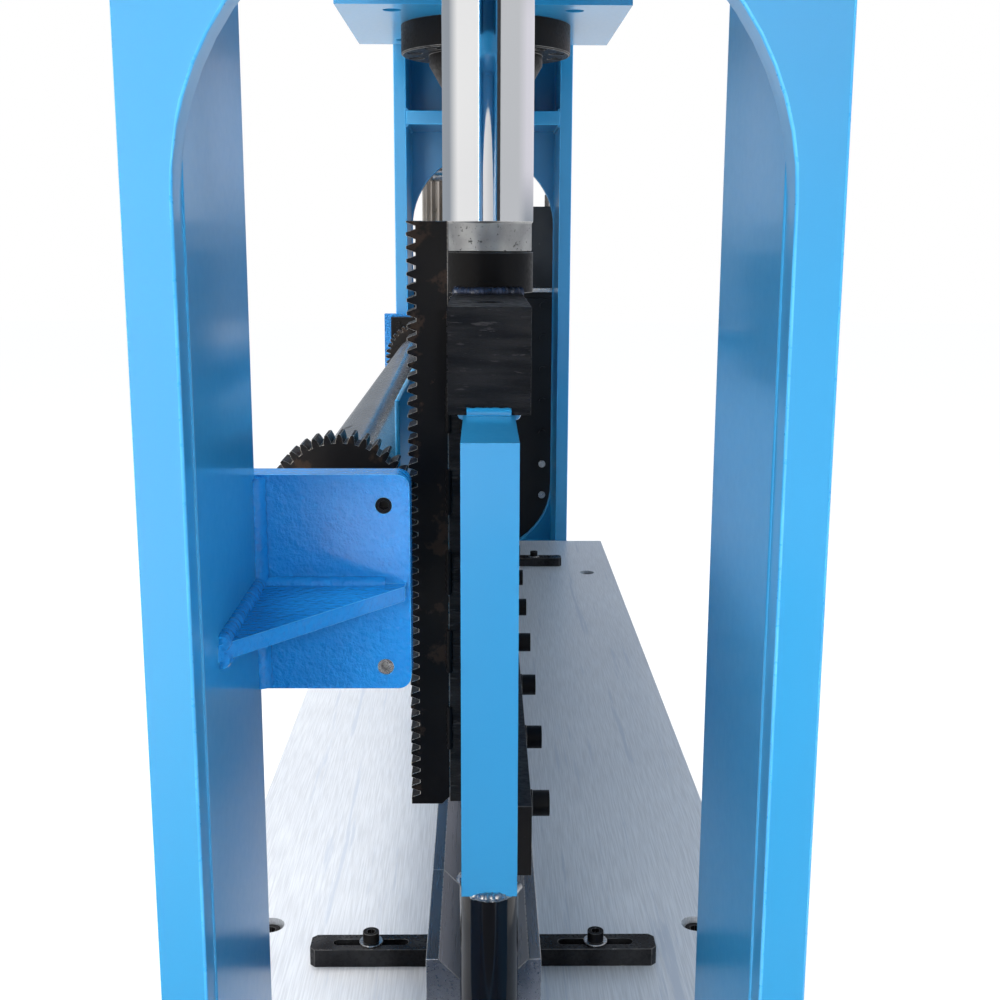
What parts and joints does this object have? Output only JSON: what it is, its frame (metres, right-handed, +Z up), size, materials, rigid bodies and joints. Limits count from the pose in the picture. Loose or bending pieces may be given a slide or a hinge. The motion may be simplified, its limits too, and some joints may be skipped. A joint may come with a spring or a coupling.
{
  "type": "hydraulic press brake",
  "caption": "Free-standing hydraulic press brake with window end frames, an up-and-down ram with punch over a V-die, cylinders in a crown, racks with a torsion shaft, and a power unit",
  "frame": {"origin": "on the floor under the middle of the machine's outline", "axes": "+X runs along the bend towards the power unit, -Y faces the operator, +Z is up"},
  "size_m": [2.473, 0.495, 2.0415],
  "materials": {
    "blue_paint": "semi-gloss blue paint with a light orange-peel texture",
    "black_steel": "blackened steel, worn bright at edges",
    "ground_steel": "ground steel with fine lengthwise marks",
    "bright_steel": "turned steel",
    "chrome": "hard chrome plate",
    "polished_black": "polished black steel",
    "bronze": "turned bronze",
    "dark_paint": "dark satin paint",
    "grey_paint": "light grey powder coat",
    "black_plastic": "matte black plastic",
    "red_plastic": "glossy red plastic",
    "white_plastic": "glossy white plastic",
    "green_plastic": "glossy green plastic"
  },
  "bodies": {
    "machine_frame": {"near_frame_web": "blue_paint", "near_front_flange": "blue_paint", "near_rear_flange": "blue_paint", "near_frame_shelves": "blue_paint", "far_frame_web": "blue_paint", "far_front_flange": "blue_paint", "far_rear_flange": "blue_paint", "far_frame_shelves": "blue_paint", "foot_plates": "blue_paint", "crown_front_plate": "blue_paint", "crown_rear_plate": "blue_paint", "crown_cover": "blue_paint", "cylinder_plates": "blue_paint", "bed_front_plate": "blue_paint", "bed_rear_plate": "blue_paint", "bed_floor_and_ribs": "blue_paint", "bearing_brackets": "blue_paint", "shaft_guard": "blue_paint", "barrels": "blue_paint", "cylinder_caps": "blue_paint", "lifting_eyes": "black_steel", "table_screws": "black_steel", "clamp_screws": "black_steel", "bearing_blocks": "black_steel", "bracket_screws": "black_steel", "gland_flanges": "black_steel", "gland_screws": "black_steel", "table": "ground_steel", "v_die": "ground_steel", "clamp_washers": "bright_steel", "oil_pipes": "bright_steel", "tank_fittings": "bright_steel", "valve_manifold": "bright_steel", "guide_bushes": "bronze", "oil_tank": "dark_paint", "tank_cover": "dark_paint", "pump_motor": "dark_paint", "control_box": "grey_paint"},
    "ram_assembly": {"ram": "blue_paint", "coupling_blocks": "black_steel", "rod_collars": "black_steel", "piston_rods": "chrome", "pistons": "bright_steel", "racks": "black_steel", "rack_spacers": "black_steel", "guide_posts": "polished_black", "punch": "ground_steel", "punch_clamp_bar": "black_steel", "punch_clamp_screws": "black_steel"},
    "sync_shaft": {"torsion_shaft": "bright_steel", "pinions": "black_steel"},
    "near_front_die_clamp": {"near_front_clamp": "black_steel"},
    "near_rear_die_clamp": {"near_rear_clamp": "black_steel"},
    "far_front_die_clamp": {"far_front_clamp": "black_steel"},
    "far_rear_die_clamp": {"far_rear_clamp": "black_steel"},
    "stop_head": {"stop_button": "red_plastic"},
    "up_cap": {"up_button": "white_plastic"},
    "down_cap": {"down_button": "green_plastic"},
    "mode_knob": {"mode_switch": "black_plastic"},
    "fan_wheel": {"motor_fan": "black_plastic"}
  },
  "joints": [
    {"name": "ram_slide", "type": "slide", "parent": "machine_frame", "child": "ram_assembly", "axis": [0, 0, 1], "range_m": [-0.035, 0.115]},
    {"name": "shaft_spin", "type": "hinge", "parent": "machine_frame", "child": "sync_shaft", "pos_m": [-0.1735, 0.1248, 1.1895], "axis": [1, 0, 0], "range_deg": [-123, 38]},
    {"name": "near_front_clamp_slide", "type": "slide", "parent": "machine_frame", "child": "near_front_die_clamp", "axis": [0, -1, 0], "range_m": [0, 0.025]},
    {"name": "near_rear_clamp_slide", "type": "slide", "parent": "machine_frame", "child": "near_rear_die_clamp", "axis": [0, 1, 0], "range_m": [0, 0.025]},
    {"name": "far_front_clamp_slide", "type": "slide", "parent": "machine_frame", "child": "far_front_die_clamp", "axis": [0, -1, 0], "range_m": [0, 0.025]},
    {"name": "far_rear_clamp_slide", "type": "slide", "parent": "machine_frame", "child": "far_rear_die_clamp", "axis": [0, 1, 0], "range_m": [0, 0.025]},
    {"name": "stop_press", "type": "slide", "parent": "machine_frame", "child": "stop_head", "axis": [0, 1, 0], "range_m": [0, 0.004]},
    {"name": "up_press", "type": "slide", "parent": "machine_frame", "child": "up_cap", "axis": [0, 1, 0], "range_m": [0, 0.004], "stiffness_N_per_m": 600},
    {"name": "down_press", "type": "slide", "parent": "machine_frame", "child": "down_cap", "axis": [0, 1, 0], "range_m": [0, 0.004], "stiffness_N_per_m": 600},
    {"name": "mode_turn", "type": "hinge", "parent": "machine_frame", "child": "mode_knob", "pos_m": [-1.1005, -0.2175, 0.63], "axis": [0, 1, 0], "range_deg": [-45, 45]},
    {"name": "fan_spin", "type": "hinge", "parent": "machine_frame", "child": "fan_wheel", "pos_m": [1.1115, 0.0475, 1.6], "axis": [0, 0, 1], "continuous": true}
  ],
  "couplings": [
    {"joint": "shaft_spin", "follows": "ram_slide", "rad_per_m": -18.519}
  ]
}
